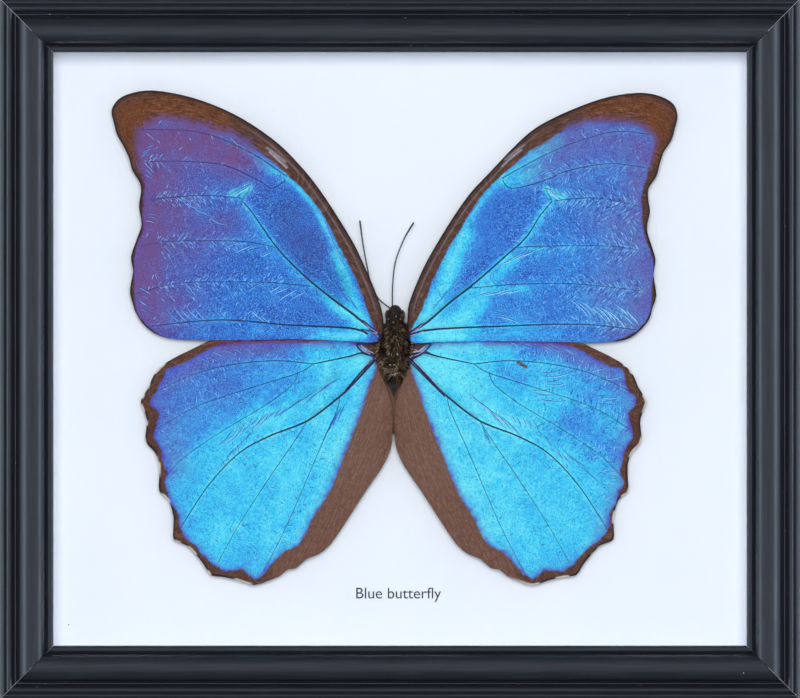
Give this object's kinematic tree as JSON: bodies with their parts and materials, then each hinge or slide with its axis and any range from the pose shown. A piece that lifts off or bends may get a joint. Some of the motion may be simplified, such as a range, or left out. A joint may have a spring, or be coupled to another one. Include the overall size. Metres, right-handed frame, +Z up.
{
  "type": "framed butterfly specimen",
  "caption": "Large blue butterfly with spread wings, fixed on a white board behind glass in a black mitred moulding with a sawtooth hanger on its back.",
  "frame": {"origin": "bottom centre of the whole object's box, under the bottom rail", "axes": "+Z up, +X across the front to the right as the viewer sees it, the glass faces -Y"},
  "size_m": [0.2032, 0.0274, 0.1778],
  "materials": {
    "moulding": "satin black paint",
    "glass": "clear, polished",
    "card": "white, matt",
    "hardboard": "brown hardboard, fine fibres",
    "steel": "zinc plated",
    "wing": "iridescent blue scales with a brown border",
    "fur": "dark brown hairs"
  },
  "bodies": {
    "root": {"rail_bottom": "moulding", "rail_left": "moulding", "rail_top": "moulding", "rail_right": "moulding", "glass": "glass", "spacer_bottom": "card", "spacer_left": "card", "spacer_top": "card", "spacer_right": "card", "mount_board": "card", "back_panel": "hardboard", "retaining_point_1": "steel", "retaining_point_2": "steel", "retaining_point_3": "steel", "retaining_point_4": "steel", "retaining_point_5": "steel", "retaining_point_6": "steel", "sawtooth_hanger": "steel", "hanger_nail_left": "steel", "hanger_nail_right": "steel", "butterfly_body": "fur", "forewing_left": "wing", "forewing_right": "wing", "hindwing_left": "wing", "hindwing_right": "wing", "antenna_left": "fur", "antenna_right": "fur"}
  },
  "joints": []
}
